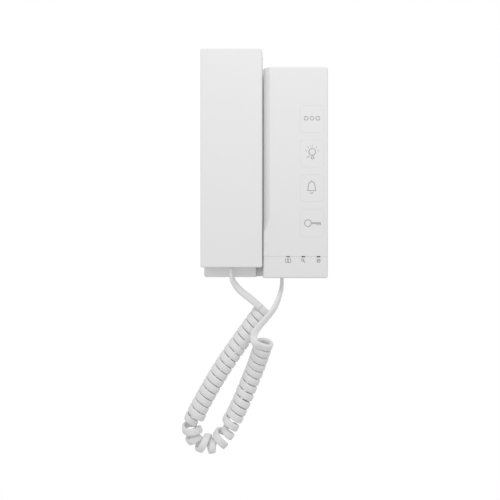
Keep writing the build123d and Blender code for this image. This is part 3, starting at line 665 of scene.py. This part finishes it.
def coil_stations():
    """How far along the coil's line each step of a curl lies. Whole turns fill the line."""
    places = [0.0]
    while places[-1] < coil_line.length:
        share = places[-1] / coil_line.length
        pitch = arm_pitch + (bend_pitch - arm_pitch) * in_bend(share)
        pitch += (end_pitch - arm_pitch) * eased((share - end_from_share) / end_ease)
        places.append(places[-1] + pitch / curl_steps)
    whole = places[: len(places) - (len(places) - 1) % curl_steps]
    return [p * coil_line.length / whole[-1] for p in whole]


def curl_radius(step, share):
    """The wound cord's radius. Round the bend every other turn nests inside the next on the inner side."""
    turn, part = divmod(step / curl_steps + 1 / 4, 1)
    degrees = 360 * part - 90
    rise = nest_to_deg - nest_from_deg
    nest = eased((degrees - nest_from_deg) / rise) * eased((180 - nest_from_deg - degrees) / rise)
    depth = nest_in if turn % 2 else -nest_out
    return curl_r - depth * nest * in_bend(share)


def winding():
    """Control points of the wound cord, and beside each one a second point further from the coil's line."""
    to_wall = Vector((0, 1, 0))
    stations = coil_stations()
    wire = []
    outer = []
    for k in range((len(stations) - 1) * points_per_step + 1):
        step = k / points_per_step
        low = min(int(step), len(stations) - 2)
        along = stations[low] + (step - low) * (stations[low + 1] - stations[low])
        centre, ahead = coil_line.at(along)
        across = to_wall.cross(ahead).normalized()
        back = ahead.cross(across)
        a = 2 * math.pi * k / points_per_turn
        out = -(back * math.cos(a) + across * math.sin(a))
        wire.append(centre + out * curl_radius(step, along / coil_line.length) * spline_cut)
        outer.append(wire[-1] + out * cord_t)
    return wire, outer


wire, outer = winding()
front = Vector((0, -1, 0))
sideways = Vector((1, 0, 0))
start_heading = (wire[1] - wire[0]).normalized()
end_heading = (wire[-1] - wire[-2]).normalized()
straight = cord_t


def lead_control(points, out_first, out_last):
    """A lead's control points and its second line, which turns the flat side from one end to the other."""
    count = len(points) - 1
    outs = [(out_first * (1 - i / count) + out_last * (i / count)).normalized() for i in range(count + 1)]
    return points, [p + o * cord_t for p, o in zip(points, outs)]


coil_start = wire[0] - start_heading * straight
coil_end = wire[-1] + end_heading * straight
handset_lead = lead_control(
    metres(handset_lead_route) + [coil_start - start_heading * cord_w, coil_start], sideways, front
)
unit_lead = lead_control(
    [coil_end, coil_end + end_heading * cord_w * 3 / 4] + metres(unit_lead_route),
    (outer[-1] - wire[-1]).normalized(), sideways,
)
wire = [coil_start] + wire
outer = [coil_start + front * cord_t] + outer


def sheath_profile():
    """The flat sheath's section: two flat sides and round edges."""
    shape = []
    for side_t, side_w, turned in ((1, 1, 0), (-1, 1, 90), (-1, -1, 180), (1, -1, 270)):
        for i in range(sheath_corner_steps + 1):
            a = math.radians(turned + 90 * i / sheath_corner_steps)
            shape.append((
                side_t * (cord_t / 2 - sheath_edge_r) + sheath_edge_r * math.cos(a),
                side_w * (sheath_w / 2 - sheath_edge_r) + sheath_edge_r * math.sin(a),
            ))
    return shape


def sheath(name, line, outer_line):
    """Sweeps the sheath's section along a line. The second line says which way its flat side faces."""
    shape = sheath_profile()
    mesh = bpy.data.meshes.new(name)
    made = bmesh.new()
    rings = []
    for i, place in enumerate(line):
        ahead = (line[min(i + 1, len(line) - 1)] - line[max(i - 1, 0)]).normalized()
        out = outer_line[i] - place
        out = (out - ahead * out.dot(ahead)).normalized()
        side = ahead.cross(out)
        rings.append([made.verts.new(place + out * u + side * v) for u, v in shape])
    for ring, following in zip(rings, rings[1:]):
        for i in range(len(shape)):
            j = (i + 1) % len(shape)
            made.faces.new((ring[i], ring[j], following[j], following[i]))
    made.faces.new(rings[0][::-1])
    made.faces.new(rings[-1])
    bmesh.ops.recalc_face_normals(made, faces=made.faces)
    made.to_mesh(mesh)
    made.free()
    for face in mesh.polygons:
        face.use_smooth = len(face.vertices) == 4
    piece = bpy.data.objects.new(name, mesh)
    bpy.context.scene.collection.objects.link(piece)
    return piece


def cord_sheath_look():
    """White flexible sheath: satin, with the fine roughness of its extrusion and a trace of handling."""
    sheath_white = (0.875, 0.875, 0.878)
    drag_per_m = 2600
    drag_depth = 0.01 * MM
    look = Look("white_cord_sheath", sheath_white, 0.38)
    tone = look.noise(60, 3)
    look.put("Base Color", look.mix(tone, shade(sheath_white, 0.975), shade(sheath_white, 1.012)))
    look.put("Roughness", 0.33 + look.noise(500, 3) * 0.12)
    look.bump(look.noise(drag_per_m, 2), drag_depth)
    return look.material


cord_look = cord_sheath_look()
sheath_fineness = 6


def cord_piece(name, wire_points, outer_points):
    """One stretch of cord as a mesh, with the line that it follows."""
    line = spline_line(wire_points, sheath_fineness)
    piece = sheath(name, line, spline_line(outer_points, sheath_fineness))
    piece.data.materials.append(cord_look)
    return piece, line


def line_length(points):
    """The length of a line through points."""
    return sum((b - a).length for a, b in zip(points, points[1:]))


unit_cord, unit_line = cord_piece("wound_cord", (wire + unit_lead[0])[::-1], (outer + unit_lead[1])[::-1])
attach(unit_cord, "wall_unit")
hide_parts("curly_cord", "unit_cord_lead")
line_length(unit_line)
free_cord, free_line = cord_piece("handset_lead", *handset_lead)
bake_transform(free_cord)
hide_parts("handset_cord_lead")
line_length(free_line)


def plug_look():
    """Clear polycarbonate gone milky round the crimped wires."""
    look = Look("milky_clear_plug", (0.78, 0.79, 0.79), 0.18)
    look.put("Base Color", look.mix(look.noise(400, 2), (0.72, 0.73, 0.73), (0.84, 0.85, 0.85)))
    look.put("Coat Weight", 0.6)
    return look.material


milky_plug = plug_look()
dress("unit_cord_plug", milky_plug)
dress("handset_cord_plug", milky_plug)

# The room: a pale floor far below the hung unit, a plain white surround and two soft lamps. The stronger one
# is high in front. The weak one, beside the camera, reaches into the gap next to the handset.

camera_place = (17.75 * MM, -530.4 * MM, -60.1 * MM)
camera_data = bpy.data.cameras.new("photo_camera")
camera_data.lens = 40.05
camera_data.sensor_width = 36
camera_data.shift_x = -0.07
camera_data.shift_y = -0.02
camera_data.clip_start = 0.01
camera_data.clip_end = 50
camera = bpy.data.objects.new("photo_camera", camera_data)
camera.location = camera_place
camera.rotation_euler = (math.radians(90), 0, 0)
bpy.context.scene.collection.objects.link(camera)
bpy.context.scene.camera = camera


def soft_lamp(name, place, target, size, power):
    """A square soft lamp that faces a point."""
    data = bpy.data.lights.new(name, "AREA")
    data.shape = "SQUARE"
    data.size = size
    data.energy = power
    lamp = bpy.data.objects.new(name, data)
    lamp.location = place
    lamp.rotation_euler = (Vector(target) - Vector(place)).to_track_quat("-Z", "Y").to_euler()
    bpy.context.scene.collection.objects.link(lamp)


soft_lamp("high_lamp", place=(0.05, -0.48, 0.5), target=(0, 0, 0.05), size=0.45, power=1.4)
soft_lamp("front_lamp", place=(-0.1, -0.75, 0.02), target=(0, 0, 0), size=0.3, power=0.4)

floor_z = -1.35
floor_side = 3.2
bpy.ops.object.select_all(action="DESELECT")
bpy.ops.mesh.primitive_plane_add(size=floor_side, location=(0, 0, floor_z))
floor = bpy.context.object
floor.name = "floor"
floor_look = Look("pale_floor", (0.9, 0.9, 0.9), 0.9)
floor_look.put("Base Color", floor_look.mix(floor_look.noise(3), (0.89, 0.89, 0.89), (0.91, 0.91, 0.91)))
floor.data.materials.append(floor_look.material)

world = bpy.data.worlds.new("white_surround")
bpy.context.scene.world = world
world.use_nodes = True
surround = Tree(world.node_tree)
surround.nodes.clear()
white = (1, 1, 1, 1)
dim_strength = 0.61
camera_ray, glossy_ray, clear_ray = [
    surround.add("ShaderNodeLightPath", {}, {}, f"Is {kind} Ray")
    for kind in ("Camera", "Glossy", "Transmission")
]
seen = camera_ray.maths("MAXIMUM", camera_ray.maths("MAXIMUM", camera_ray, glossy_ray), clear_ray)
dim = surround.add("ShaderNodeBackground", {}, {"Color": white, "Strength": dim_strength})
bright = surround.add("ShaderNodeBackground", {}, {"Color": white, "Strength": 1})
both = surround.add("ShaderNodeMixShader", {}, [seen, dim, bright])
surround.fill(surround.nodes.new("ShaderNodeOutputWorld").inputs["Surface"], both)
bpy.context.scene.view_settings.view_transform = "Standard"
